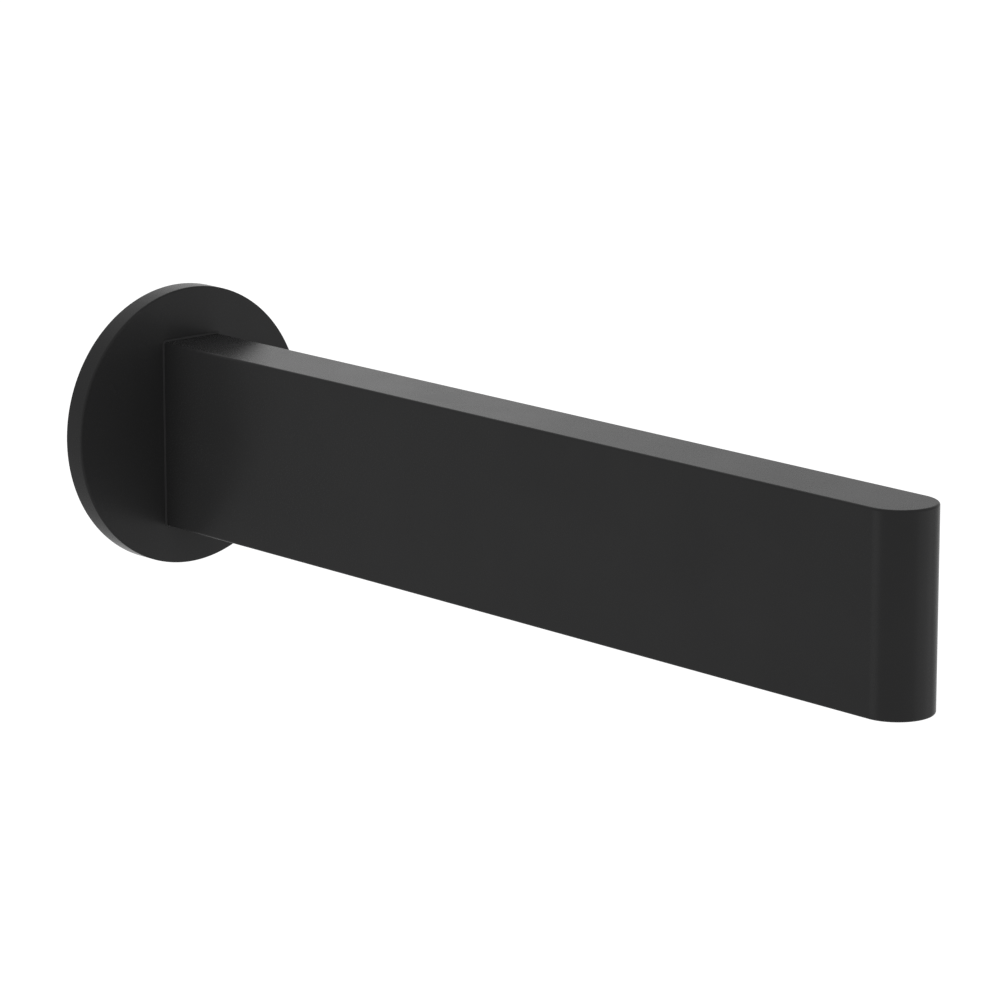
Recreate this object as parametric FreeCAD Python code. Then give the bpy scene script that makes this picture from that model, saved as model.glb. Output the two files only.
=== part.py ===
# Wall-mounted bath spout: a tall, narrow hollow arm with a half-round tip, a round cover plate at the
# wall, a threaded connection nipple that the arm plugs onto, and an oblong outlet cartridge under the tip.
# Millimetres. The wall is the plane Y = 0, the arm reaches out of it along -Y, and +Z is up.
# The origin is where the axis of the connection meets the wall.
import FreeCAD, Part
import math
import os

from FreeCAD import Vector

# Arm
arm_width = 15.0
arm_height = 40.0
arm_drop = 1.0  # the arm's middle lies this far below the connection's axis
projection = 220.0  # from the wall to the tip
arm_wall_gap = 1.0  # the arm's back face stops this far short of the wall
arm_edge_radius = 0.5
arm_wall = 2.5  # thickness of the casting around the waterway
waterway_corner = 3.0  # rounding of the waterway's corners, seen from the side

# Rosette, the round cover plate
rosette_border = 7.7  # from the arm's lower corners to the rosette's edge
rosette_thickness = 5.0
rosette_edge_radius = 0.4
rosette_web = 1.8  # thickness of its front plate
rosette_rim = 1.5  # thickness of its outer rim
window_gap = 0.45  # between the arm and the rosette's window, filled by the seal's lip
collar_wall = 1.2
arm_seal_width = 1.5
arm_seal_gap = 0.05
arm_seal_lip = 0.35  # the lip stands this far proud of the rosette
arm_seal_bevel = 0.3
wall_gasket_width = 2.0
wall_gasket_gap = 0.2

# Connection nipple: a pipe thread on the wall side and a plain spigot on the arm side
thread_diameter = 20.955
thread_length = 15.0  # the part that goes into the wall
thread_chamfer = 1.2
shoulder_gap = 0.2  # between the nipple's shoulder and the arm's back face
shoulder_chamfer = 0.2
inlet_wall = 4.2
inlet_depth = 9.0
spigot_lead = 0.8  # chamfer that guides the spigot into the socket
groove_wall = 0.85  # between the O-ring grooves and the water bore
key_land = 0.1  # ledge left around the water bore by the hexagon key
key_depth = 5.5
key_setback = 1.4  # from the end of the key's socket to the front groove

# Socket in the arm
socket_wall = 1.45
socket_gap = 0.05  # radial clearance of the spigot
socket_chamfer = 0.8
socket_end_gap = 1.0
channel_step = 0.5  # the channel is this much narrower than the waterway, on each side
channel_length = 3.0  # from the socket to the waterway

# O-rings on the spigot
o_ring_section = 1.5
o_ring_squeeze = 0.2
o_ring_play = 0.01
o_ring_sides = 8  # of its section
o_ring_side_play = 0.13
o_ring_land = 2.0  # between the two grooves

# Set screw that locks the arm on the nipple
thread_play = 0.05
set_screw_diameter = 5.0
set_screw_inset = 7.7  # from the nipple's shoulder to the screw
set_screw_recess = 3.35  # from the arm's underside to the screw
set_screw_tip_radius = 0.8
set_screw_key = 2.5
set_screw_key_depth = 3.0
set_screw_chamfer = 0.4
locating_groove_depth = 1.2
locating_groove_land = 2.0  # between the locating groove and the rear O-ring's groove
locating_play = 0.05

# Outlet cartridge
outlet_wall = 1.8  # the arm's skin around the cartridge
outlet_spacing = 27.0  # between the two screws, one at each round end
outlet_mouth = 0.3  # chamfer at the pocket's mouth
outlet_margin = 1.5  # metal between the pocket and the waterway
cartridge_recess = 0.4
cartridge_gap = 0.15
cartridge_chamfer = 0.3
gasket_thickness = 1.0
gasket_overlap = 0.35
screw_land = 3.4  # from a screw's axis to the near edge of the water window
window_land = 1.5  # width of the gasket's seat beside the water window
housing_wall = 1.2
lip_width = 0.5
lip_thickness = 0.8
insert_gap = 0.1
insert_corner = 1.0
grille_thickness = 3.0
cell_width = 1.5  # across the flats of one honeycomb cell
cell_wall = 0.35
jet_plate_thickness = 1.2
jet_plate_skirt = 1.5
jet_plate_skirt_wall = 0.8
jet_width = 1.1  # across the flats of one jet's hexagon
jet_rows = 4
jet_columns = 9
strainer_height = 1.1
strainer_sheet = 0.3
strainer_skirt_wall = 0.4
strainer_hole = 0.7
strainer_bar = 0.45
outlet_screw_diameter = 2.5
outlet_screw_length = 12.0
outlet_screw_head = 4.7
outlet_screw_head_land = 0.2
outlet_screw_sink = 0.1
outlet_screw_key = 1.5
outlet_screw_key_depth = 1.0
outlet_screw_play = 0.1
tapped_end_gap = 1.0

# Places and sizes of the arm and the rosette that follow
arm_bottom = -arm_drop - arm_height / 2
arm_top = -arm_drop + arm_height / 2
arm_rear_y = -arm_wall_gap
tip_centre_y = arm_width / 2 - projection
waterway_half_width = arm_width / 2 - arm_wall
rosette_radius = math.hypot(arm_width / 2, arm_bottom) + rosette_border
rosette_front_y = -rosette_thickness
rosette_web_back_y = rosette_front_y + rosette_web

# Places and sizes of the nipple and its socket that follow
thread_radius = thread_diameter / 2
shoulder_y = arm_rear_y + shoulder_gap
socket_radius = arm_width / 2 - socket_wall
spigot_radius = socket_radius - socket_gap
o_ring_floor_radius = socket_radius - o_ring_section + o_ring_squeeze
o_ring_radial = (socket_radius - o_ring_floor_radius) / 2 - o_ring_play
o_ring_axial = (o_ring_section / 2) ** 2 / o_ring_radial
groove_half_width = o_ring_axial + o_ring_side_play
water_bore_radius = o_ring_floor_radius - groove_wall
key_width = 2 * (water_bore_radius + key_land)
set_screw_y = shoulder_y - set_screw_inset
locating_floor_radius = spigot_radius - locating_groove_depth
o_ring_rear_y = set_screw_y - locating_groove_depth - locating_groove_land - groove_half_width
o_ring_front_y = o_ring_rear_y - 2 * groove_half_width - o_ring_land
spigot_end_y = o_ring_front_y - groove_half_width - key_setback - key_depth
socket_end_y = spigot_end_y - socket_end_gap
waterway_rear_y = socket_end_y - channel_length

# Places and sizes of the outlet that follow
outlet_radius = arm_width / 2 - outlet_wall
outlet_rear_y = tip_centre_y + outlet_spacing
outlet_middle_y = tip_centre_y + outlet_spacing / 2
screw_places_y = (tip_centre_y, outlet_rear_y)
cartridge_radius = outlet_radius - cartridge_gap
water_window_length = outlet_spacing - 2 * screw_land
water_window_width = 2 * (outlet_radius - window_land)
chamber_width = 2 * (cartridge_radius - housing_wall)
insert_width = chamber_width - 2 * insert_gap
insert_length = water_window_length - 2 * insert_gap
cartridge_bottom = arm_bottom + cartridge_recess
grille_bottom = cartridge_bottom + lip_thickness
jet_plate_bottom = grille_bottom + grille_thickness
jet_plate_web = jet_plate_bottom + jet_plate_skirt
strainer_bottom = jet_plate_web + jet_plate_thickness
cartridge_top = strainer_bottom + strainer_height
outlet_seat = cartridge_top + gasket_thickness
outlet_screw_foot = cartridge_bottom + outlet_screw_sink
tapped_top = outlet_screw_foot + outlet_screw_length + tapped_end_gap
outlet_block_top = tapped_top + outlet_margin
outlet_block_y = outlet_rear_y + outlet_radius + outlet_margin

along_y = Vector(0, 1, 0)
along_z = Vector(0, 0, 1)


def rounded_wire(corners, radii):
    """A closed flat wire through the corners, each one rounded to its own radius."""
    stretches = []
    for i, corner in enumerate(corners):
        if radii[i] == 0:
            stretches.append((corner, None, corner))
            continue
        to_last = (corners[i - 1] - corner).normalize()
        to_next = (corners[(i + 1) % len(corners)] - corner).normalize()
        half_angle = to_last.getAngle(to_next) / 2
        tangent = radii[i] / math.tan(half_angle)
        inward = (to_last + to_next).normalize()
        crown = corner + inward * (radii[i] / math.sin(half_angle) - radii[i])
        stretches.append((corner + to_last * tangent, crown, corner + to_next * tangent))
    edges = []
    for i, (start, crown, end) in enumerate(stretches):
        following = stretches[(i + 1) % len(stretches)][0]
        if crown is not None:
            edges.append(Part.Arc(start, crown, end).toShape())
        if not end.isEqual(following, 1e-6):
            edges.append(Part.LineSegment(end, following).toShape())
    return Part.Wire(edges)


def prism(wire, travel):
    """The solid that a flat wire sweeps along a vector."""
    return Part.Face(wire).extrude(travel)


def edges_at(solid, axis, place):
    """The solid's edges that lie in the plane across the axis at the given place."""
    return [e for e in solid.Edges if all(abs(point.dot(axis) - place) < 1e-6 for point in e.discretize(5))]


def arm_section_bar(margin, y_from, y_to):
    """A bar along Y with the arm's own cross-section, grown by a margin all round."""
    half_width = arm_width / 2 + margin
    low = arm_bottom - margin
    high = arm_top + margin
    places = [(-half_width, low), (half_width, low), (half_width, high), (-half_width, high)]
    corners = [Vector(x, y_from, z) for x, z in places]
    return prism(rounded_wire(corners, [arm_edge_radius + margin] * 4), along_y * (y_to - y_from))


def standing_block(width, y_front, y_rear, corner_radius, z_from, z_to):
    """A block with rounded upright edges. A radius of half the width makes its ends half-round."""
    half = width / 2
    places = [(-half, y_front), (half, y_front), (half, y_rear), (-half, y_rear)]
    corners = [Vector(x, y, z_from) for x, y in places]
    return prism(rounded_wire(corners, [corner_radius] * 4), along_z * (z_to - z_from))


def outlet_oblong(radius, z_from, z_to):
    """An upright block whose half-round ends are centred on the outlet's two screws."""
    return standing_block(2 * radius, tip_centre_y - radius, outlet_rear_y + radius, radius, z_from, z_to)


def outlet_insert(width, length, z_from, z_to):
    """A block in the middle of the outlet, between the screws."""
    y_front = outlet_middle_y - length / 2
    return standing_block(width, y_front, y_front + length, insert_corner, z_from, z_to)


def turned(profile, base, axis, radii=None):
    """A turned solid. The profile is a list of (radius, distance along the axis)."""
    corners = [base + Vector(radius, 0, 0) + axis * along for radius, along in profile]
    wire = rounded_wire(corners, radii or [0] * len(corners))
    return Part.Face(wire).revolve(base, axis, 360)


def hexagon_bar(across_flats, foot, axis, length):
    """A hexagonal prism that starts at its foot and runs along the axis."""
    across = axis.cross(Vector(1, 0, 0))
    reach = across_flats / math.sqrt(3)
    corners = []
    for i in range(6):
        angle = math.radians(60 * i)
        corners.append(foot + Vector(reach * math.cos(angle), 0, 0) + across * (reach * math.sin(angle)))
    return prism(rounded_wire(corners, [0] * 6), axis * length)


def centred_row(count, pitch):
    """Evenly spaced places on both sides of zero."""
    return [(i - (count - 1) / 2) * pitch for i in range(count)]


def fitting_count(room, opening, bar):
    """How many openings with bars between them fit into the room."""
    return int((room - opening) / (opening + bar)) + 1


def arm_outline(half_width, rear_y, z):
    """The arm seen from above: parallel sides and a half-round tip."""
    tip_y = tip_centre_y - half_width
    places = [(half_width, rear_y), (-half_width, rear_y), (-half_width, tip_y), (half_width, tip_y)]
    corners = [Vector(x, y, z) for x, y in places]
    return rounded_wire(corners, [0, 0, half_width, half_width])


def arm_waterway():
    """The casting's core: full height along the arm, and only above the outlet's block at the tip."""
    floor = arm_bottom + arm_wall
    ceiling = arm_top - arm_wall
    tip_y = tip_centre_y - waterway_half_width
    side_view = [
        (waterway_rear_y, floor),
        (waterway_rear_y, ceiling),
        (tip_y, ceiling),
        (tip_y, outlet_block_top),
        (outlet_block_y, outlet_block_top),
        (outlet_block_y, floor),
    ]
    corners = [Vector(-waterway_half_width, y, z) for y, z in side_view]
    wire = rounded_wire(corners, [waterway_corner] * len(corners))
    side = prism(wire, Vector(2 * waterway_half_width, 0, 0))
    plan = prism(arm_outline(waterway_half_width, waterway_rear_y, floor), along_z * (ceiling - floor))
    return side.common(plan)


def arm_socket():
    """The stepped bore that takes the nipple's spigot and leads on to the waterway."""
    channel_radius = waterway_half_width - channel_step
    profile = [
        (0, arm_rear_y),
        (socket_radius + socket_chamfer, arm_rear_y),
        (socket_radius, arm_rear_y - socket_chamfer),
        (socket_radius, socket_end_y),
        (channel_radius, socket_end_y),
        (channel_radius, waterway_rear_y - waterway_corner),
        (0, waterway_rear_y - waterway_corner),
    ]
    return turned(profile, Vector(), along_y)


def set_screw_hole():
    """The tapped hole from the arm's underside up to the socket."""
    radius = set_screw_diameter / 2 + thread_play
    depth = -arm_bottom - locating_floor_radius
    profile = [
        (0, 0),
        (radius + set_screw_chamfer, 0),
        (radius, set_screw_chamfer),
        (radius, depth),
        (0, depth),
    ]
    return turned(profile, Vector(0, set_screw_y, arm_bottom), along_z)


def outlet_pocket():
    """The cartridge's pocket, the water window above its seat and the two tapped holes beside it."""
    pocket = outlet_oblong(outlet_radius, arm_bottom, outlet_seat)
    mouth = outlet_oblong(outlet_radius + outlet_mouth, arm_bottom - outlet_mouth, arm_bottom + outlet_mouth)
    mouth = mouth.makeChamfer(outlet_mouth, edges_at(mouth, along_z, arm_bottom + outlet_mouth))
    window_top = outlet_block_top + waterway_corner
    window = outlet_insert(water_window_width, water_window_length, outlet_seat, window_top)
    radius = outlet_screw_diameter / 2 + thread_play
    depth = tapped_top - outlet_seat
    holes = [Part.makeCylinder(radius, depth, Vector(0, y, outlet_seat), along_z) for y in screw_places_y]
    return pocket.fuse([mouth, window] + holes)


def spout_arm():
    """The cast arm, one piece: a hollow bar with a socket at the wall and a pocket under the tip."""
    body = prism(arm_outline(arm_width / 2, arm_rear_y, arm_bottom), along_z * arm_height)
    rear = edges_at(body, along_y, arm_rear_y)
    rims = edges_at(body, along_z, arm_bottom) + edges_at(body, along_z, arm_top)
    soft = [e for e in rims if not any(e.isSame(other) for other in rear)]
    body = body.makeFillet(arm_edge_radius, soft)
    return body.cut([arm_waterway(), arm_socket(), set_screw_hole(), outlet_pocket()])


def rosette():
    """The round cover plate: a shallow cup with a window for the arm and a collar behind the window."""
    profile = [
        (0, rosette_front_y),
        (rosette_radius, rosette_front_y),
        (rosette_radius, 0),
        (rosette_radius - rosette_rim, 0),
        (rosette_radius - rosette_rim, rosette_web_back_y),
        (0, rosette_web_back_y),
    ]
    plate = turned(profile, Vector(), along_y, [0, rosette_edge_radius, 0, 0, 0, 0])
    collar = arm_section_bar(arm_seal_width + collar_wall, rosette_web_back_y, arm_rear_y)
    seal_pocket = arm_section_bar(arm_seal_width, rosette_web_back_y, arm_rear_y)
    window = arm_section_bar(window_gap, rosette_front_y, 0)
    return plate.fuse(collar).cut([seal_pocket, window])


def arm_seal():
    """The rubber frame that grips the arm in the rosette's collar. Its bevelled lip closes the window."""
    lip_front_y = rosette_front_y - arm_seal_lip
    frame = arm_section_bar(arm_seal_width - arm_seal_gap, rosette_web_back_y, arm_rear_y)
    lip = arm_section_bar(window_gap - arm_seal_gap, lip_front_y, arm_rear_y)
    lip = lip.makeChamfer(arm_seal_bevel, edges_at(lip, along_y, lip_front_y))
    return frame.fuse(lip).cut(arm_section_bar(arm_seal_gap, lip_front_y, arm_rear_y))


def wall_gasket():
    """The foam ring inside the rosette's rim, pressed against the wall."""
    outer = rosette_radius - rosette_rim - wall_gasket_gap
    inner = outer - wall_gasket_width
    profile = [(inner, rosette_web_back_y), (outer, rosette_web_back_y), (outer, 0), (inner, 0)]
    return turned(profile, Vector(), along_y)


def connection_nipple():
    """The turned nipple, with its two O-ring grooves, the locating groove and a hexagon socket."""
    inlet_radius = thread_radius - inlet_wall
    inlet_cone_y = thread_length - inlet_depth
    profile = [
        (inlet_radius, thread_length),
        (thread_radius - thread_chamfer, thread_length),
        (thread_radius, thread_length - thread_chamfer),
        (thread_radius, shoulder_y + shoulder_chamfer),
        (thread_radius - shoulder_chamfer, shoulder_y),
        (spigot_radius, shoulder_y),
        (spigot_radius, set_screw_y + locating_groove_depth),
        (locating_floor_radius, set_screw_y),
        (spigot_radius, set_screw_y - locating_groove_depth),
    ]
    for groove_y in (o_ring_rear_y, o_ring_front_y):
        profile += [
            (spigot_radius, groove_y + groove_half_width),
            (o_ring_floor_radius, groove_y + groove_half_width),
            (o_ring_floor_radius, groove_y - groove_half_width),
            (spigot_radius, groove_y - groove_half_width),
        ]
    profile += [
        (spigot_radius, spigot_end_y + spigot_lead),
        (spigot_radius - spigot_lead, spigot_end_y),
        (water_bore_radius, spigot_end_y),
        (water_bore_radius, inlet_cone_y - inlet_radius + water_bore_radius),
        (inlet_radius, inlet_cone_y),
    ]
    nipple = turned(profile, Vector(), along_y)
    return nipple.cut(hexagon_bar(key_width, Vector(0, spigot_end_y, 0), along_y, key_depth))


def nipple_o_ring(y):
    """A rubber ring, squeezed between its groove and the socket. Flat sides stand for its oval section."""
    middle = o_ring_floor_radius + o_ring_play + o_ring_radial
    half_turn = math.pi / o_ring_sides
    flat = math.cos(half_turn)
    profile = []
    for i in range(o_ring_sides):
        angle = (2 * i + 1) * half_turn
        radius = middle + o_ring_radial * math.cos(angle) / flat
        profile.append((radius, y + o_ring_axial * math.sin(angle) / flat))
    return turned(profile, Vector(), along_y)


def set_screw():
    """The headless screw that locks the arm on the nipple."""
    radius = set_screw_diameter / 2
    length = -arm_bottom - set_screw_recess - locating_floor_radius - set_screw_tip_radius - locating_play
    profile = [
        (0, 0),
        (radius - set_screw_chamfer, 0),
        (radius, set_screw_chamfer),
        (radius, length - radius + set_screw_tip_radius),
        (set_screw_tip_radius, length),
        (0, length),
    ]
    foot = Vector(0, set_screw_y, arm_bottom + set_screw_recess)
    screw = turned(profile, foot, along_z)
    return screw.cut(hexagon_bar(set_screw_key, foot, along_z, set_screw_key_depth))


def outlet_housing():
    """The oblong shell of the cartridge, with a chamber over a lip and a countersunk hole at each end."""
    shell = outlet_oblong(cartridge_radius, cartridge_bottom, cartridge_top)
    shell = shell.makeChamfer(cartridge_chamfer, edges_at(shell, along_z, cartridge_bottom))
    chamber = outlet_insert(chamber_width, water_window_length, grille_bottom, cartridge_top)
    mouth_width = chamber_width - 2 * lip_width
    mouth_length = water_window_length - 2 * lip_width
    mouth = outlet_insert(mouth_width, mouth_length, cartridge_bottom, grille_bottom)
    head = outlet_screw_head / 2 + outlet_screw_play
    hole = outlet_screw_diameter / 2 + outlet_screw_play
    land = outlet_screw_sink + outlet_screw_head_land
    top = cartridge_top - cartridge_bottom
    countersink = [(0, 0), (head, 0), (head, land), (hole, land + head - hole), (hole, top), (0, top)]
    holes = [turned(countersink, Vector(0, y, cartridge_bottom), along_z) for y in screw_places_y]
    return shell.cut([chamber, mouth] + holes)


def outlet_gasket():
    """The rubber sheet that seals the cartridge against its seat."""
    sheet = outlet_oblong(cartridge_radius, cartridge_top, outlet_seat)
    width = chamber_width - 2 * gasket_overlap
    length = water_window_length - 2 * gasket_overlap
    window = outlet_insert(width, length, cartridge_top, outlet_seat)
    radius = outlet_screw_diameter / 2 + outlet_screw_play
    feet = [Vector(0, y, cartridge_top) for y in screw_places_y]
    holes = [Part.makeCylinder(radius, gasket_thickness, foot, along_z) for foot in feet]
    return sheet.cut([window] + holes)


def outlet_grille():
    """The honeycomb that the water leaves through."""
    block = outlet_insert(insert_width, insert_length, grille_bottom, jet_plate_bottom)
    pitch = cell_width + cell_wall
    row_pitch = pitch * math.sqrt(3) / 2
    open_width = chamber_width - 2 * lip_width
    open_length = water_window_length - 2 * lip_width
    rows = fitting_count(open_width, cell_width, row_pitch - cell_width)
    columns = fitting_count(open_length, cell_width, cell_wall)
    cells = []
    for i, x in enumerate(centred_row(rows, row_pitch)):
        for y in centred_row(columns - i % 2, pitch):
            foot = Vector(x, outlet_middle_y + y, grille_bottom)
            cells.append(hexagon_bar(cell_width, foot, along_z, grille_thickness))
    return block.cut(cells)


def jet_plate():
    """The plate that splits the water into jets. A skirt around it stands on the honeycomb."""
    plate = outlet_insert(insert_width, insert_length, jet_plate_bottom, strainer_bottom)
    inner_width = insert_width - 2 * jet_plate_skirt_wall
    inner_length = insert_length - 2 * jet_plate_skirt_wall
    hollow = outlet_insert(inner_width, inner_length, jet_plate_bottom, jet_plate_web)
    jets = []
    for x in centred_row(jet_rows, inner_width / jet_rows):
        for y in centred_row(jet_columns, inner_length / jet_columns):
            foot = Vector(x, outlet_middle_y + y, jet_plate_web)
            jets.append(hexagon_bar(jet_width, foot, along_z, jet_plate_thickness))
    return plate.cut([hollow] + jets)


def strainer():
    """The sieve over the jet plate: a pressed sheet with square holes and a short skirt."""
    sheet_bottom = cartridge_top - strainer_sheet
    sieve = outlet_insert(insert_width, insert_length, strainer_bottom, cartridge_top)
    inner_width = insert_width - 2 * strainer_skirt_wall
    inner_length = insert_length - 2 * strainer_skirt_wall
    hollow = outlet_insert(inner_width, inner_length, strainer_bottom, sheet_bottom)
    pitch = strainer_hole + strainer_bar
    rows = fitting_count(inner_width - 2 * strainer_bar, strainer_hole, strainer_bar)
    columns = fitting_count(inner_length - 2 * strainer_bar, strainer_hole, strainer_bar)
    holes = []
    for x in centred_row(rows, pitch):
        for y in centred_row(columns, pitch):
            middle = Vector(x, outlet_middle_y + y, sheet_bottom)
            corner = middle - Vector(strainer_hole / 2, strainer_hole / 2, 0)
            holes.append(Part.makeBox(strainer_hole, strainer_hole, strainer_sheet, corner))
    return sieve.cut([hollow] + holes)


def outlet_screw(y):
    """A small countersunk screw that holds the cartridge up."""
    head = outlet_screw_head / 2
    shank = outlet_screw_diameter / 2
    profile = [
        (0, 0),
        (head, 0),
        (head, outlet_screw_head_land),
        (shank, outlet_screw_head_land + head - shank),
        (shank, outlet_screw_length),
        (0, outlet_screw_length),
    ]
    foot = Vector(0, y, outlet_screw_foot)
    screw = turned(profile, foot, along_z)
    return screw.cut(hexagon_bar(outlet_screw_key, foot, along_z, outlet_screw_key_depth))


pieces = {
    "spout_arm": spout_arm(),
    "rosette": rosette(),
    "arm_seal": arm_seal(),
    "wall_gasket": wall_gasket(),
    "connection_nipple": connection_nipple(),
    "nipple_o_ring_front": nipple_o_ring(o_ring_front_y),
    "nipple_o_ring_rear": nipple_o_ring(o_ring_rear_y),
    "set_screw": set_screw(),
    "outlet_housing": outlet_housing(),
    "outlet_gasket": outlet_gasket(),
    "outlet_grille": outlet_grille(),
    "jet_plate": jet_plate(),
    "strainer": strainer(),
    "outlet_screw_front": outlet_screw(tip_centre_y),
    "outlet_screw_rear": outlet_screw(outlet_rear_y),
}

os.makedirs("parts", exist_ok=True)
for name, shape in pieces.items():
    shape.exportStep(os.path.join("parts", name + ".step"))
    print(f"{name}: {len(shape.Solids)} solid, {shape.Volume / 1000:.2f} cm3, valid {shape.isValid()}")
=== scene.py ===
import math

import bmesh
import bpy
from mathutils import Matrix, Vector


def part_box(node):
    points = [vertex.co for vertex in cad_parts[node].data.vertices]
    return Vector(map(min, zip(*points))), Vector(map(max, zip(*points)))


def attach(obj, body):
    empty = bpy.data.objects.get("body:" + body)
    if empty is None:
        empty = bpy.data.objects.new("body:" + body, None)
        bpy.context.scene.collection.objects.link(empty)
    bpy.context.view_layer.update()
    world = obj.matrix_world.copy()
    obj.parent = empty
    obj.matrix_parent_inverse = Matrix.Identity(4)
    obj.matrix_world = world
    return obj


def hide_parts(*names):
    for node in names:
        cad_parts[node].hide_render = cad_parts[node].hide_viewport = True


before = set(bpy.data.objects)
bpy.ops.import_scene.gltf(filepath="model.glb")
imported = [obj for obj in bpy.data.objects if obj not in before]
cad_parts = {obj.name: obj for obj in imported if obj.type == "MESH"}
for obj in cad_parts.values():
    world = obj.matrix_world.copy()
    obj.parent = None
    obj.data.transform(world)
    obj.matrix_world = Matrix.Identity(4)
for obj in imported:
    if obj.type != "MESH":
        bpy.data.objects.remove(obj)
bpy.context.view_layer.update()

scene = bpy.context.scene
scene.view_settings.view_transform = "Standard"
mm = 0.001
wholeTurn = 2 * math.pi


def nodeBox(name):
    low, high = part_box(name)
    return low / mm, high / mm


def middleOf(name):
    low, high = nodeBox(name)
    return (low + high) / 2


# Camera, light and floor

view = {
    "azimuth": -42.03,
    "elevation": 13.09,
    "lens": 177.03,
    "sensor": 36,
    "place": (-0.6434, -0.8179, 0.2235),  # metres
    "nearest": 0.05,
    "farthest": 100,
}


def setCamera():
    data = bpy.data.cameras.new("camera")
    data.lens = view["lens"]
    data.sensor_width = view["sensor"]
    data.clip_start = view["nearest"]
    data.clip_end = view["farthest"]
    camera = bpy.data.objects.new("camera", data)
    camera.location = view["place"]
    camera.rotation_euler = (math.radians(90 - view["elevation"]), 0, math.radians(view["azimuth"]))
    scene.collection.objects.link(camera)
    scene.camera = camera


# Places and sizes of lights and floor are metres. The world's strength is what falls on the object,
# while the backdrop itself shows as white. The side softbox draws the light line down the tip, and
# the back one lights the top face.
light = {
    "worldStrength": 0.78,
    "aim": (0, -0.1, 0),
    "frontSoftbox": {"power": 5.6, "size": 1.2, "place": (0.7, -1.1, -0.35)},
    "sideSoftbox": {"power": 2.8, "size": 0.6, "place": (-1.3, 0.35, -0.2)},
    "backSoftbox": {"power": 3.3, "size": 1.4, "place": (0.45, 1.15, 0.95)},
}
floor = {"height": -1.5, "size": 60.0, "grey": 0.9, "whiteShare": 0.4}


def seenRays(tree):
    # 1 for what the camera, a mirror or clear material sees, 0 for the light that falls on things
    path = tree.nodes.new("ShaderNodeLightPath")
    seen = path.outputs["Is Camera Ray"]
    for ray in ("Is Glossy Ray", "Is Transmission Ray"):
        either = tree.nodes.new("ShaderNodeMath")
        either.operation = "MAXIMUM"
        tree.links.new(seen, either.inputs[0])
        tree.links.new(path.outputs[ray], either.inputs[1])
        seen = either.outputs[0]
    return seen


def setWorld():
    world = bpy.data.worlds.new("studio")
    world.use_nodes = True
    tree = world.node_tree
    background = tree.nodes["Background"]
    background.inputs["Color"].default_value = (1, 1, 1, 1)
    strength = tree.nodes.new("ShaderNodeMapRange")
    strength.inputs["To Min"].default_value = light["worldStrength"]
    strength.inputs["To Max"].default_value = 1.0
    tree.links.new(seenRays(tree), strength.inputs["Value"])
    tree.links.new(strength.outputs["Result"], background.inputs["Strength"])
    scene.world = world


def addSoftbox(name):
    box = light[name]
    data = bpy.data.lights.new(name, "AREA")
    data.size = box["size"]
    data.energy = box["power"]
    lamp = bpy.data.objects.new(name, data)
    lamp.location = box["place"]
    aim = Vector(light["aim"]) - Vector(box["place"])
    lamp.rotation_euler = aim.to_track_quat("-Z", "Y").to_euler()
    scene.collection.objects.link(lamp)


def addFloor():
    half, height = floor["size"] / 2, floor["height"]
    corners = [(-half, -half, height), (half, -half, height), (half, half, height), (-half, half, height)]
    mesh = bpy.data.meshes.new("floor")
    mesh.from_pydata(corners, [], [(0, 1, 2, 3)])
    plane = bpy.data.objects.new("floor", mesh)
    scene.collection.objects.link(plane)
    material = bpy.data.materials.new("paleFloor")
    material.use_nodes = True
    tree = material.node_tree
    shader = tree.nodes["Principled BSDF"]
    shader.inputs["Base Color"].default_value = (floor["grey"], floor["grey"], floor["grey"], 1)
    shader.inputs["Roughness"].default_value = 1.0
    shader.inputs["Specular IOR Level"].default_value = 0.0
    shader.inputs["Emission Color"].default_value = (1, 1, 1, 1)
    share = tree.nodes.new("ShaderNodeMath")
    share.operation = "MULTIPLY"
    share.inputs[1].default_value = floor["whiteShare"]
    tree.links.new(seenRays(tree), share.inputs[0])
    tree.links.new(share.outputs[0], shader.inputs["Emission Strength"])
    mesh.materials.append(material)


setCamera()
setWorld()
addFloor()
for name in ("frontSoftbox", "sideSoftbox", "backSoftbox"):
    addSoftbox(name)
print("camera, light and floor are set")


# Making meshes

reachPast = 1.0  # of a cutter, past the surface that it opens


def skinRings(rings, closed=False):
    # quads between rings of equally many points; a stack that isn't closed gets a cap at each end
    form = bmesh.new()
    loops = [[form.verts.new(point) for point in ring] for ring in rings]
    pairs = list(zip(loops, loops[1:]))
    if closed:
        pairs.append((loops[-1], loops[0]))
    else:
        form.faces.new(loops[0])
        form.faces.new(loops[-1])
    for near, far in pairs:
        for i in range(len(near)):
            form.faces.new((near[i - 1], near[i], far[i], far[i - 1]))
    bmesh.ops.recalc_face_normals(form, faces=form.faces)
    mesh = bpy.data.meshes.new("form")
    form.to_mesh(mesh)
    form.free()
    return mesh


def turned(profile, axis, base=(0, 0, 0), steps=96, closed=False):
    # profile: (radius, place along the axis); the radius may be a function of the angle and the place
    rings = []
    for radius, along in profile:
        ring = []
        for i in range(steps):
            angle = wholeTurn * i / steps
            reach = radius(angle, along) if callable(radius) else radius
            side, front = reach * math.sin(angle), reach * math.cos(angle)
            point = (side, along, front) if axis == "Y" else (front, side, along)
            ring.append(Vector(base) + Vector(point))
        rings.append(ring)
    return skinRings(rings, closed)


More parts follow.
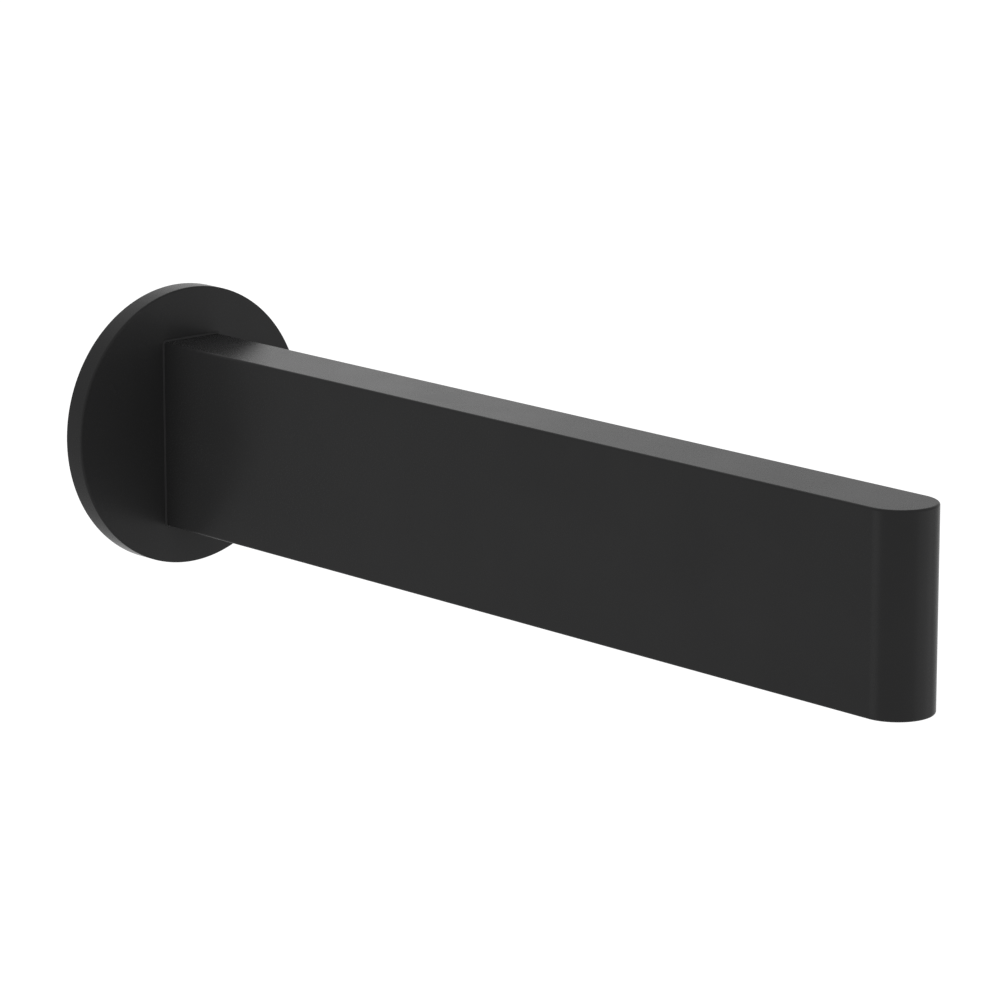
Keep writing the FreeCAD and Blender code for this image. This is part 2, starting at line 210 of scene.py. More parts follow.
def roundedLoop(corners, radius, steps=8):
    # a flat outline with every corner rounded
    points = []
    for i, place in enumerate(corners):
        corner = Vector(place)
        back = (Vector(corners[i - 1]) - corner).normalized()
        ahead = (Vector(corners[(i + 1) % len(corners)]) - corner).normalized()
        half = back.angle(ahead) / 2
        centre = corner + (back + ahead).normalized() * (radius / math.sin(half))
        start = (corner + back * (radius / math.tan(half)) - centre).normalized()
        end = (corner + ahead * (radius / math.tan(half)) - centre).normalized()
        points += [centre + start.slerp(end, k / steps) * radius for k in range(steps + 1)]
    return points


def blockLoop(width, yFront, yRear, radius, steps=8):
    half = width / 2
    return roundedLoop([(-half, yFront), (half, yFront), (half, yRear), (-half, yRear)], radius, steps)


def standing(loops):
    # loops: (flat outline, height)
    return skinRings([[(point[0], point[1], z) for point in loop] for loop, z in loops])


def quarter(steps):
    # the sine and one minus the cosine of a quarter turn, for rounded edges
    angles = [math.pi / 2 * i / steps for i in range(steps + 1)]
    return [(math.sin(angle), 1 - math.cos(angle)) for angle in angles]


def carve(mesh, cutters, operation="DIFFERENCE"):
    body = bpy.data.objects.new("body", mesh)
    scene.collection.objects.link(body)
    helpers = [body]
    for cutter in cutters:
        helper = bpy.data.objects.new("cutter", cutter)
        scene.collection.objects.link(helper)
        helpers.append(helper)
        boolean = body.modifiers.new("carve", "BOOLEAN")
        boolean.operation = operation
        boolean.solver = "EXACT"
        boolean.object = helper
    bpy.context.view_layer.update()
    carved = bpy.data.meshes.new_from_object(body.evaluated_get(bpy.context.evaluated_depsgraph_get()))
    for helper in helpers:
        bpy.data.objects.remove(helper)
    return carved


def joined(meshes):
    form = bmesh.new()
    for mesh in meshes:
        form.from_mesh(mesh)
    whole = bpy.data.meshes.new("form")
    form.to_mesh(whole)
    form.free()
    return whole


def threadRadius(thread, start):
    # right-hand: the ridge climbs by one pitch in a turn, and fades in from start over the runout
    def radius(angle, along):
        turns = along / thread["pitch"] - angle / wholeTurn
        fade = min(1, abs(along - start) / thread["runout"])
        return thread["crestRadius"] - fade * thread["depth"] * (0.5 - 0.5 * math.cos(wholeTurn * turns))
    return radius


def threaded(thread, start, end):
    # the rings of a thread, with its start at the runout and a chamfer at the end
    count = round(abs(end - start) / thread["pitch"] * thread["stepsPerTurn"])
    ridge = threadRadius(thread, start)

    def chamfered(angle, along):
        lead = thread["crestRadius"] - thread["chamfer"] + abs(end - along)
        return min(ridge(angle, along), lead)

    return [(chamfered, start + (end - start) * i / count) for i in range(count + 1)]


def hexagon(acrossFlats, turn=0.0):
    def radius(angle, along):
        return acrossFlats / 2 / math.cos((angle + turn + math.pi / 6) % (math.pi / 3) - math.pi / 6)
    return radius


def keySocket(screw, bottom):
    # the hexagon socket of a screw that stands on its head, from the floor down to the rim
    key, bevel = screw["keyWidth"], screw["keyBevel"]
    straight = hexagon(key, math.pi / 6)
    return [(straight, bottom + screw["keyDepth"]), (straight, bottom + bevel),
            (hexagon(key + 2 * bevel, math.pi / 6), bottom)]


def addPiece(name, mesh, material, slot, *nodes, sharpAngle=32):
    mesh.transform(Matrix.Scale(mm, 4))
    mesh.materials.clear()
    mesh.materials.append(material)
    mesh.polygons.foreach_set("use_smooth", [True] * len(mesh.polygons))
    mesh.set_sharp_from_angle(angle=math.radians(sharpAngle))
    mesh.name = name
    piece = bpy.data.objects.new(name, mesh)
    scene.collection.objects.link(piece)
    normals = piece.modifiers.new("evenNormals", "WEIGHTED_NORMAL")
    normals.keep_sharp = True
    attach(piece, "root")
    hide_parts(*nodes)
    return piece


# Shared surface effects

def newGroup(name, inputs, outputs):
    group = bpy.data.node_groups.new(name, "ShaderNodeTree")
    for label, value in inputs.items():
        socket = group.interface.new_socket(label, in_out="INPUT", socket_type="NodeSocketFloat")
        socket.default_value = value
    for label in outputs:
        group.interface.new_socket(label, in_out="OUTPUT", socket_type="NodeSocketFloat")
    return group, group.nodes.new("NodeGroupInput"), group.nodes.new("NodeGroupOutput")


def mathNode(tree, operation, first, second):
    node = tree.nodes.new("ShaderNodeMath")
    node.operation = operation
    for socket, value in zip(node.inputs, (first, second)):
        if isinstance(value, (int, float)):
            socket.default_value = value
        else:
            tree.links.new(value, socket)
    return node.outputs[0]


def noiseNode(tree, size, detail, roughness=0.5, dimensions="3D"):
    # size: the width of one patch in millimetres, as a socket or a number
    noise = tree.nodes.new("ShaderNodeTexNoise")
    noise.noise_dimensions = dimensions
    noise.inputs["Detail"].default_value = detail
    noise.inputs["Roughness"].default_value = roughness
    tree.links.new(mathNode(tree, "DIVIDE", 1 / mm, size), noise.inputs["Scale"])
    return noise


def placeOnPiece(tree):
    return tree.nodes.new("ShaderNodeTexCoord").outputs["Object"]


def makeGrain():
    # the fine relief of a sprayed or moulded skin: small grains riding on a softer swell
    inputs = {"Grain": 0.25, "Swell": 1.2, "Swell Share": 0.5}
    group, start, end = newGroup("fineGrain", inputs, ["Height", "Pores"])
    place = placeOnPiece(group)
    grain = noiseNode(group, start.outputs["Grain"], 2)
    swell = noiseNode(group, start.outputs["Swell"], 1)
    for noise in (grain, swell):
        group.links.new(place, noise.inputs["Vector"])
    raised = mathNode(group, "MULTIPLY", swell.outputs["Fac"], start.outputs["Swell Share"])
    group.links.new(mathNode(group, "ADD", grain.outputs["Fac"], raised), end.inputs["Height"])
    poreLevel, poreDepth = 0.42, 6
    pores = mathNode(group, "SUBTRACT", poreLevel, grain.outputs["Fac"])
    deep = mathNode(group, "MULTIPLY", pores, poreDepth)
    group.links.new(mathNode(group, "MAXIMUM", deep, 0), end.inputs["Pores"])
    return group


def makeMottle():
    # a slow, cloudy change between two values
    group, start, end = newGroup("softMottle", {"Size": 15, "Low": 0, "High": 1}, ["Value"])
    cloud = noiseNode(group, start.outputs["Size"], 3, 0.55)
    group.links.new(placeOnPiece(group), cloud.inputs["Vector"])
    spread = group.nodes.new("ShaderNodeMapRange")
    spread.inputs["From Min"].default_value = 0.3
    spread.inputs["From Max"].default_value = 0.7
    group.links.new(cloud.outputs["Fac"], spread.inputs["Value"])
    group.links.new(start.outputs["Low"], spread.inputs["To Min"])
    group.links.new(start.outputs["High"], spread.inputs["To Max"])
    group.links.new(spread.outputs["Result"], end.inputs["Value"])
    return group


def makeEdges():
    # 1 on convex and concave edges within the width, 0 on open faces
    group, start, end = newGroup("edgeBand", {"Width": 0.4, "Strength": 1}, ["Mask"])
    bevel = group.nodes.new("ShaderNodeBevel")
    bevel.samples = 6
    group.links.new(mathNode(group, "MULTIPLY", start.outputs["Width"], mm), bevel.inputs["Radius"])
    geometry = group.nodes.new("ShaderNodeNewGeometry")
    agreement = group.nodes.new("ShaderNodeVectorMath")
    agreement.operation = "DOT_PRODUCT"
    group.links.new(bevel.outputs["Normal"], agreement.inputs[0])
    group.links.new(geometry.outputs["Normal"], agreement.inputs[1])
    bend = mathNode(group, "SUBTRACT", 1, agreement.outputs["Value"])
    fullBend = 0.25  # a right angle's middle bends by 0.29
    gain = mathNode(group, "DIVIDE", start.outputs["Strength"], fullBend)
    strong = mathNode(group, "MAXIMUM", mathNode(group, "MULTIPLY", bend, gain), 0)
    group.links.new(mathNode(group, "MINIMUM", strong, 1), end.inputs["Mask"])
    return group


def makeLatheMarks():
    # fine rings left by a turning tool, round the axis of the connection
    group, start, end = newGroup("latheMarks", {"Pitch": 0.12}, ["Height", "Band"])
    split = group.nodes.new("ShaderNodeSeparateXYZ")
    group.links.new(placeOnPiece(group), split.inputs[0])
    across = mathNode(group, "POWER", split.outputs["X"], 2)
    up = mathNode(group, "POWER", split.outputs["Z"], 2)
    radius = mathNode(group, "SQRT", mathNode(group, "ADD", across, up), 0)
    along = mathNode(group, "ADD", split.outputs["Y"], radius)
    for pitches, label, detail in ((1, "Height", 2), (9, "Band", 1)):
        width = mathNode(group, "MULTIPLY", start.outputs["Pitch"], pitches)
        lines = noiseNode(group, width, detail, dimensions="1D")
        group.links.new(along, lines.inputs["W"])
        group.links.new(lines.outputs["Fac"], end.inputs[label])
    return group


def makeCells():
    # the cut bubbles of closed-cell foam, with a mask for painted shade that is 1 inside each pit
    group, start, end = newGroup("foamCells", {"Size": 0.5}, ["Height", "PitShade"])
    cells = group.nodes.new("ShaderNodeTexVoronoi")
    cells.feature = "DISTANCE_TO_EDGE"
    group.links.new(placeOnPiece(group), cells.inputs["Vector"])
    group.links.new(mathNode(group, "DIVIDE", 1 / mm, start.outputs["Size"]), cells.inputs["Scale"])
    wallShare = 0.2  # of a cell, on each side
    pit = mathNode(group, "MINIMUM", mathNode(group, "DIVIDE", cells.outputs["Distance"], wallShare), 1)
    group.links.new(mathNode(group, "SUBTRACT", 1, pit), end.inputs["Height"])
    group.links.new(pit, end.inputs["PitShade"])
    return group


fineGrain = makeGrain()
softMottle = makeMottle()
edgeBand = makeEdges()
latheMarks = makeLatheMarks()
foamCells = makeCells()


# Finishes

def placeGroup(tree, group, **values):
    node = tree.nodes.new("ShaderNodeGroup")
    node.node_tree = group
    for label, value in values.items():
        node.inputs[label.replace("_", " ")].default_value = value
    return node


def newMaterial(name):
    material = bpy.data.materials.new(name)
    material.use_nodes = True
    return material, material.node_tree, material.node_tree.nodes["Principled BSDF"]


def blendColors(tree, factor, first, second):
    mix = tree.nodes.new("ShaderNodeMix")
    mix.data_type = "RGBA"
    tree.links.new(factor, mix.inputs["Factor"])
    for socket, color in ((mix.inputs["A"], first), (mix.inputs["B"], second)):
        if isinstance(color, tuple):
            socket.default_value = (*color, 1)
        else:
            tree.links.new(color, socket)
    return mix.outputs["Result"]


def addBump(tree, shader, height, depth):
    bump = tree.nodes.new("ShaderNodeBump")
    bump.inputs["Distance"].default_value = depth * mm
    tree.links.new(height, bump.inputs["Height"])
    tree.links.new(bump.outputs["Normal"], shader.inputs["Normal"])


sheenSize = 0.6  # of a patch of duller skin, beside a patch of colour


def skinFinish(name, finish):
    # the common build of the coated, moulded and rubber surfaces
    material, tree, shader = newMaterial(name)
    grain = placeGroup(tree, fineGrain, Grain=finish["grain"], Swell=finish["swell"],
                       Swell_Share=finish["swellShare"])
    tone = placeGroup(tree, softMottle, Size=finish["mottle"])
    edges = placeGroup(tree, edgeBand, Width=finish["edgeWidth"], Strength=finish["edgeStrength"])
    clouded = blendColors(tree, tone.outputs["Value"], finish["color"], finish["cloudColor"])
    # painted highlight: edges are coloured lighter, standing in for the light that their rounding catches
    edgeHighlighted = blendColors(tree, edges.outputs["Mask"], clouded, finish["edgeHighlightColor"])
    tree.links.new(edgeHighlighted, shader.inputs["Base Color"])
    sheen = placeGroup(tree, softMottle, Size=finish["mottle"] * sheenSize,
                       Low=finish["roughness"][0], High=finish["roughness"][1])
    dulled = mathNode(tree, "MULTIPLY", grain.outputs["Pores"], finish["poreRoughness"])
    polished = mathNode(tree, "MULTIPLY", edges.outputs["Mask"], finish["edgePolish"])
    rough = mathNode(tree, "SUBTRACT", mathNode(tree, "ADD", sheen.outputs["Value"], dulled), polished)
    tree.links.new(rough, shader.inputs["Roughness"])
    shader.inputs["Specular IOR Level"].default_value = finish["specular"]
    addBump(tree, shader, grain.outputs["Height"], finish["depth"])
    return material


blackCoat = {
    "color": (0.0225, 0.0225, 0.0228),
    "cloudColor": (0.0245, 0.0245, 0.0247),
    "edgeHighlightColor": (0.031, 0.031, 0.0312),
    "roughness": (0.25, 0.28),
    "poreRoughness": 0.05,
    "edgePolish": 0.03,
    "edgeWidth": 0.35,
    "edgeStrength": 0.6,
    "specular": 0.042,
    "grain": 0.26,
    "swell": 1.1,
    "swellShare": 0.1,
    "depth": 0.012,
    "mottle": 22,
}
sealRubber = {
    "color": (0.016, 0.016, 0.0164),
    "cloudColor": (0.02, 0.02, 0.0204),
    "edgeHighlightColor": (0.024, 0.024, 0.0244),
    "roughness": (0.5, 0.6),
    "poreRoughness": 0.1,
    "edgePolish": 0.04,
    "edgeWidth": 0.15,
    "edgeStrength": 0.5,
    "specular": 0.12,
    "grain": 0.12,
    "swell": 0.9,
    "swellShare": 0.4,
    "depth": 0.003,
    "mottle": 6,
}
blackPlastic = {
    "color": (0.026, 0.026, 0.027),
    "cloudColor": (0.031, 0.031, 0.032),
    "edgeHighlightColor": (0.05, 0.05, 0.051),
    "roughness": (0.42, 0.48),
    "poreRoughness": 0.1,
    "edgePolish": 0.08,
    "edgeWidth": 0.2,
    "edgeStrength": 0.6,
    "specular": 0.4,
    "grain": 0.14,
    "swell": 0.8,
    "swellShare": 0.3,
    "depth": 0.004,
    "mottle": 5,
}
greyPlastic = {
    "color": (0.15, 0.155, 0.16),
    "cloudColor": (0.175, 0.18, 0.185),
    "edgeHighlightColor": (0.23, 0.235, 0.24),
    "roughness": (0.34, 0.4),
    "poreRoughness": 0.08,
    "edgePolish": 0.05,
    "edgeWidth": 0.1,
    "edgeStrength": 0.6,
    "specular": 0.5,
    "grain": 0.2,
    "swell": 1.5,
    "swellShare": 0.8,
    "depth": 0.002,
    "mottle": 4,
}
whitePlastic = {
    "color": (0.72, 0.72, 0.7),
    "cloudColor": (0.76, 0.76, 0.74),
    "edgeHighlightColor": (0.8, 0.8, 0.79),
    "roughness": (0.36, 0.42),
    "poreRoughness": 0.08,
    "edgePolish": 0.05,
    "edgeWidth": 0.1,
    "edgeStrength": 0.5,
    "specular": 0.5,
    "grain": 0.2,
    "swell": 1.5,
    "swellShare": 0.8,
    "depth": 0.002,
    "mottle": 4,
}
turnedBrass = {
    "color": (0.74, 0.52, 0.24),
    "tarnishColor": (0.6, 0.38, 0.15),
    "edgeHighlightColor": (0.84, 0.64, 0.34),
    "roughness": (0.2, 0.32),
    "edgeWidth": 0.2,
    "edgeStrength": 0.6,
    "pitch": 0.13,
    "depth": 0.003,
    "mottle": 5,
}
stainlessSteel = {
    "color": (0.58, 0.58, 0.57),
    "dullColor": (0.46, 0.46, 0.455),
    "roughness": (0.26, 0.38),
    "grain": 0.1,
    "swell": 1,
    "swellShare": 0.5,
    "depth": 0.002,
    "mottle": 1.5,
    "sheenPatch": 3,
}
gasketFoam = {
    "color": (0.075, 0.075, 0.077),
    "pitShadeColor": (0.035, 0.035, 0.036),
    "roughness": (0.86, 0.96),
    "specular": 0.2,
    "cell": 0.5,
    "depth": 0.08,
    "mottle": 7,
}


def brassMaterial(finish):
    material, tree, shader = newMaterial("turnedBrass")
    marks = placeGroup(tree, latheMarks, Pitch=finish["pitch"])
    stain = placeGroup(tree, softMottle, Size=finish["mottle"])
    edges = placeGroup(tree, edgeBand, Width=finish["edgeWidth"], Strength=finish["edgeStrength"])
    tarnished = blendColors(tree, stain.outputs["Value"], finish["color"], finish["tarnishColor"])
    # painted highlight: edges are coloured lighter, standing in for the light that their rounding catches
    tree.links.new(blendColors(tree, edges.outputs["Mask"], tarnished, finish["edgeHighlightColor"]),
                   shader.inputs["Base Color"])
    smooth, rough = finish["roughness"]
    spread = mathNode(tree, "MULTIPLY", marks.outputs["Band"], rough - smooth)
    tree.links.new(mathNode(tree, "ADD", spread, smooth), shader.inputs["Roughness"])
    shader.inputs["Metallic"].default_value = 1.0
    addBump(tree, shader, marks.outputs["Height"], finish["depth"])
    return material


def steelMaterial(finish):
    material, tree, shader = newMaterial("stainlessSteel")
    grain = placeGroup(tree, fineGrain, Grain=finish["grain"], Swell=finish["swell"],
                       Swell_Share=finish["swellShare"])
    patch = placeGroup(tree, softMottle, Size=finish["mottle"])
    tree.links.new(blendColors(tree, patch.outputs["Value"], finish["color"], finish["dullColor"]),
                   shader.inputs["Base Color"])
    sheen = placeGroup(tree, softMottle, Size=finish["sheenPatch"], Low=finish["roughness"][0],
                       High=finish["roughness"][1])
    tree.links.new(sheen.outputs["Value"], shader.inputs["Roughness"])
    shader.inputs["Metallic"].default_value = 1.0
    addBump(tree, shader, grain.outputs["Height"], finish["depth"])
    return material


def foamMaterial(finish):
    material, tree, shader = newMaterial("gasketFoam")
    cells = placeGroup(tree, foamCells, Size=finish["cell"])
    # painted shade: the foam is coloured darker inside each cut cell, where the pits sink
    tree.links.new(blendColors(tree, cells.outputs["PitShade"], finish["color"], finish["pitShadeColor"]),
                   shader.inputs["Base Color"])
    dry = placeGroup(tree, softMottle, Size=finish["mottle"], Low=finish["roughness"][0],
                     High=finish["roughness"][1])
    tree.links.new(dry.outputs["Value"], shader.inputs["Roughness"])
    shader.inputs["Specular IOR Level"].default_value = finish["specular"]
    addBump(tree, shader, cells.outputs["Height"], finish["depth"])
    return material


coat = skinFinish("matteBlackCoat", blackCoat)
rubber = skinFinish("sealRubber", sealRubber)
housingPlastic = skinFinish("blackPlastic", blackPlastic)
grillePlastic = skinFinish("greyPlastic", greyPlastic)
jetPlastic = skinFinish("whitePlastic", whitePlastic)
brass = brassMaterial(turnedBrass)
steel = steelMaterial(stainlessSteel)
foam = foamMaterial(gasketFoam)
print("finishes are mixed")


# Spout arm: one hollow casting with a half-round tip

armLow, armHigh = nodeBox("spout_arm")
nippleLow, nippleHigh = nodeBox("connection_nipple")
housingLow, housingHigh = nodeBox("outlet_housing")
outletSeat = nodeBox("outlet_gasket")[1].z
tipCentreY = armLow.y + armHigh.x

spoutArm = {
    "edgeRadius": 0.5,
    "edgeSteps": 6,
    "tipSteps": 72,
    "wall": 2.5,
    "coreCorner": 3.0,
    "coreRearY": -28.636,
    "outletBlockTop": -6.0,
    "outletBlockY": -178.3,
    "socketRadius": 6.05,
    "socketChamfer": 0.8,
    "socketEndGap": 1.0,  # behind the nipple's end
    "channelRadius": 4.5,
    "channelReach": 3.0,  # into the waterway, past its rounded corners
    "pocketGap": 0.15,  # around the cartridge
    "pocketMouth": 0.3,
    "waterWindow": (8.4, 20.2),  # width and length
    "waterWindowCorner": 1.0,
    "tappedRadius": 1.3,
    "tappedTop": -7.5,
}


def armPlan(halfWidth, rearY):
    # seen from above: parallel sides and a half-round tip
    steps = spoutArm["tipSteps"]
    points = [(halfWidth, rearY), (-halfWidth, rearY)]
    for i in range(steps + 1):
        angle = math.pi * (1 + i / steps)
        points.append((halfWidth * math.cos(angle), tipCentreY + halfWidth * math.sin(angle)))
    return points


def armSkin():
    radius = spoutArm["edgeRadius"]
    loops = []
    for sine, rise in quarter(spoutArm["edgeSteps"]):
        loops.append((armPlan(armHigh.x - radius * (1 - sine), armHigh.y), armLow.z + radius * rise))
    for sine, rise in reversed(quarter(spoutArm["edgeSteps"])):
        loops.append((armPlan(armHigh.x - radius * (1 - sine), armHigh.y), armHigh.z - radius * rise))
    return standing(loops)


def armCore():
    # the water's way: full height along the arm, and only above the outlet's block at the tip
    wall = spoutArm["wall"]
    halfWidth = armHigh.x - wall
    bottom, top = armLow.z + wall, armHigh.z - wall
    rear, front = spoutArm["coreRearY"], tipCentreY - halfWidth
    blockY, blockTop = spoutArm["outletBlockY"], spoutArm["outletBlockTop"]
    corners = [(rear, bottom), (rear, top), (front, top), (front, blockTop), (blockY, blockTop),
               (blockY, bottom)]
    outline = roundedLoop(corners, spoutArm["coreCorner"], steps=10)
    side = halfWidth + reachPast
    slab = skinRings([[(x, y, z) for y, z in outline] for x in (-side, side)])
    plan = armPlan(halfWidth, rear + reachPast)
    return carve(slab, [standing([(plan, bottom - reachPast), (plan, top + reachPast)])], "INTERSECT")


def armSocket():
    radius, chamfer = spoutArm["socketRadius"], spoutArm["socketChamfer"]
    end, channel = nippleLow.y - spoutArm["socketEndGap"], spoutArm["channelRadius"]
    profile = [(radius + chamfer + reachPast, armHigh.y + reachPast), (radius, armHigh.y - chamfer),
               (radius, end), (channel, end), (channel, spoutArm["coreRearY"] - spoutArm["channelReach"])]
    return turned(profile, "Y")


def outletOblong(radius, steps=48):
    # two half rounds, one about each screw
    points = []
    for node, start in (("outlet_screw_front", math.pi), ("outlet_screw_rear", 0)):
        for i in range(steps + 1):
            angle = start + math.pi * i / steps
            points.append((radius * math.cos(angle), middleOf(node).y + radius * math.sin(angle)))
    return points


def outletPocket():
    radius, mouth = housingHigh.x + spoutArm["pocketGap"], spoutArm["pocketMouth"]
    return standing([(outletOblong(radius + 2 * mouth), armLow.z - mouth),
                     (outletOblong(radius), armLow.z + mouth),
                     (outletOblong(radius), outletSeat)])


def waterWindow():
    width, length = spoutArm["waterWindow"]
    middle = middleOf("outlet_grille").y
    loop = blockLoop(width, middle - length / 2, middle + length / 2, spoutArm["waterWindowCorner"])
    return standing([(loop, outletSeat - reachPast), (loop, spoutArm["outletBlockTop"] + reachPast)])


def tappedHole(node):
    radius = spoutArm["tappedRadius"]
    profile = [(radius, outletSeat - reachPast), (radius, spoutArm["tappedTop"])]
    return turned(profile, "Z", (0, middleOf(node).y, 0), steps=48)


# Set screw under the arm, in its tapped hole

setScrew = {
    "pitch": 0.8,
    "crestRadius": 2.5,
    "depth": 0.45,
    "runout": 0.3,
    "chamfer": 0.4,
    "stepsPerTurn": 20,
    "play": 0.05,  # between the screw and its hole
    "tipRadius": 0.8,
    "keyWidth": 2.5,
    "keyDepth": 3.0,
    "keyBevel": 0.12,
    "holeChamfer": 0.4,
}
screwLow, screwHigh = nodeBox("set_screw")
screwMiddle = (screwLow + screwHigh) / 2


def setScrewHole():
    hole = dict(setScrew, crestRadius=setScrew["crestRadius"] + setScrew["play"])
    chamfer = hole["holeChamfer"]
    start = armLow.z + chamfer
    top = screwHigh.z + reachPast
    count = round((top - start) / hole["pitch"] * hole["stepsPerTurn"])
    ridge = threadRadius(hole, start)
    profile = [(hole["crestRadius"] + 2 * chamfer, armLow.z - chamfer)]
    profile += [(ridge, start + (top - start) * i / count) for i in range(count + 1)]
    return turned(profile, "Z", (0, screwMiddle.y, 0), steps=60)


armMesh = carve(armSkin(), [armCore(), armSocket(), setScrewHole(), outletPocket(), waterWindow(),
                            tappedHole("outlet_screw_front"), tappedHole("outlet_screw_rear")])
addPiece("spoutArm", armMesh, coat, "matte_black", "spout_arm")
print("the arm is carved")


def makeSetScrew():
    # from the bottom of its key up the socket, round the foot and up the thread to the cone
    crest, chamfer, top = setScrew["crestRadius"], setScrew["chamfer"], screwHigh.z
    start, cone = screwLow.z + chamfer, top - crest + setScrew["tipRadius"]
    ridge = threadRadius(setScrew, start)
    profile = keySocket(setScrew, screwLow.z) + [(crest - chamfer, screwLow.z)]
    count = round((cone - start) / setScrew["pitch"] * setScrew["stepsPerTurn"])
    profile += [(ridge, start + (cone - start) * i / count) for i in range(count + 1)]
    profile += [(setScrew["tipRadius"], top)]
    return turned(profile, "Z", (0, screwMiddle.y, 0), steps=72)


addPiece("setScrew", makeSetScrew(), steel, "stainless_steel", "set_screw", sharpAngle=40)
print("the set screw is in")

# Rosette: a shallow round cup with a window for the arm and a collar behind it

rosetteLow, rosetteHigh = nodeBox("rosette")
rosette = {
    "edgeRadius": 0.4,
    "edgeSteps": 6,
    "backEdge": 0.15,
    "webBackY": -3.2,
    "rim": 1.5,
    "windowGap": 0.45,
    "collarWall": 1.2,
    "sealWidth": 1.5,
    "fineness": 2.0,  # degrees between two points of its outline
    "cornerSteps": 6,
}
# how far the arm's right, top, left and bottom stand from the connection's axis
armSideReach = (armHigh.x, armHigh.z, -armLow.x, -armLow.z)


def armSection(margin, y):
    # the arm's cross-section grown by a margin, as points evenly spread round the connection's axis
    corner, steps = spoutArm["edgeRadius"], rosette["cornerSteps"]
    points = []
    for k in range(4):
        normal = Vector((math.cos(k * math.pi / 2), 0, math.sin(k * math.pi / 2)))
        across = Vector((-normal.z, 0, normal.x))
        reach = armSideReach[k]
        start, end = corner - armSideReach[k - 1], armSideReach[(k + 1) % 4] - corner
        first, last = math.atan2(start, reach), math.atan2(end, reach)
        count = round(math.degrees(last - first) / rosette["fineness"])
        for i in range(count + 1):
            slide = reach * math.tan(first + (last - first) * i / count)
            points.append(normal * (reach + margin) + across * slide + Vector((0, y, 0)))
        centre = normal * (reach - corner) + across * end + Vector((0, y, 0))
        for i in range(1, steps):
            turn = math.pi / 2 * i / steps
            outward = normal * math.cos(turn) + across * math.sin(turn)
            points.append(centre + outward * (corner + margin))
    return points


def rosetteCircle(radius, y):
    return [point.normalized() * radius + Vector((0, y, 0)) for point in armSection(0, 0)]


def makeRosette():
    front, webBack, radius = rosetteLow.y, rosette["webBackY"], rosetteHigh.x
    seal, collar = rosette["sealWidth"], rosette["sealWidth"] + rosette["collarWall"]
    inner = radius - rosette["rim"]
    edge, back = rosette["edgeRadius"], rosette["backEdge"]
    rings = [armSection(rosette["windowGap"], front), armSection(rosette["windowGap"], webBack),
             armSection(seal, webBack), armSection(seal, armHigh.y),
             armSection(collar, armHigh.y), armSection(collar, webBack),
             rosetteCircle(inner, webBack), rosetteCircle(inner, -back), rosetteCircle(inner + back, 0),
             rosetteCircle(radius - back, 0), rosetteCircle(radius, -back)]
    for sine, rise in reversed(quarter(rosette["edgeSteps"])):
        rings.append(rosetteCircle(radius - edge * (1 - sine), front + edge * rise))
    return skinRings(rings, closed=True)


addPiece("rosetteCover", makeRosette(), coat, "matte_black", "rosette")

# Rubber frame that grips the arm in the rosette's collar, with a bevelled lip in the window

armSeal = {"gap": 0.05, "width": 1.45, "lip": 0.4, "bevel": 0.3, "soften": 0.12}
sealLow, sealHigh = nodeBox("arm_seal")


def makeArmSeal():
    gap, width, lip, soften = armSeal["gap"], armSeal["width"], armSeal["lip"], armSeal["soften"]
    webBack, front = rosette["webBackY"], sealLow.y
    bevel = armSeal["bevel"]
    section = [(gap, front), (lip - bevel, front), (lip, front + bevel), (lip, webBack),
               (width - soften, webBack), (width, webBack + soften), (width, sealHigh.y - soften),
               (width - soften, sealHigh.y), (gap + soften, sealHigh.y), (gap, sealHigh.y - soften)]
    return skinRings([armSection(margin, y) for margin, y in section], closed=True)


addPiece("armSeal", makeArmSeal(), rubber, "rubber", "arm_seal")

# Foam ring between the rosette and the wall

wallGasket = {"width": 2.0, "corner": 0.45, "cornerSteps": 4}
foamLow, foamHigh = nodeBox("wall_gasket")


def makeWallGasket():
    outer, inner = foamHigh.x, foamHigh.x - wallGasket["width"]
    corners = [(inner, foamLow.y), (outer, foamLow.y), (outer, foamHigh.y), (inner, foamHigh.y)]
    section = roundedLoop(corners, wallGasket["corner"], wallGasket["cornerSteps"])
    return turned([(radius, y) for radius, y in section], "Y", steps=180, closed=True)


foamRing = addPiece("wallGasket", makeWallGasket(), foam, "foam", "wall_gasket")
print("rosette, seal and gasket are in")

# Connection nipple: pipe thread on the wall side, plain spigot with two O-rings on the arm side

connectionNipple = {
    "pitch": 1.814,
    "depth": 1.162,
    "runout": 1.6,
    "chamfer": 1.2,
    "crestRadius": 10.4775,
    "stepsPerTurn": 20,
    "shoulderY": -0.8,
    "shoulderBevel": 0.2,
    "threadStartY": 0.6,
    "inletRadius": 6.2775,
    "inletDepth": 9.0,
    "inletBevel": 0.3,
    "boreRadius": 3.9,
    "spigotRadius": 6.0,
    "spigotLead": 0.8,
    "keyWidth": 8.0,
    "keyDepth": 5.5,
    "keyBevel": 0.2,
    "grooveFloor": 4.75,
    "ringPlay": 0.13,
    "locatingDepth": 1.2,
    "breakEdge": 0.12,
}


def ringGroove(node):
    low, high = nodeBox(node)
    half = (high.y - low.y) / 2 + connectionNipple["ringPlay"]
    middle = (high.y + low.y) / 2
    spigot, groove = connectionNipple["spigotRadius"], connectionNipple["grooveFloor"]
    edge = connectionNipple["breakEdge"]
    return [(spigot, middle + half + edge), (spigot - edge, middle + half), (groove, middle + half),
            (groove, middle - half), (spigot - edge, middle - half), (spigot, middle - half - edge)]


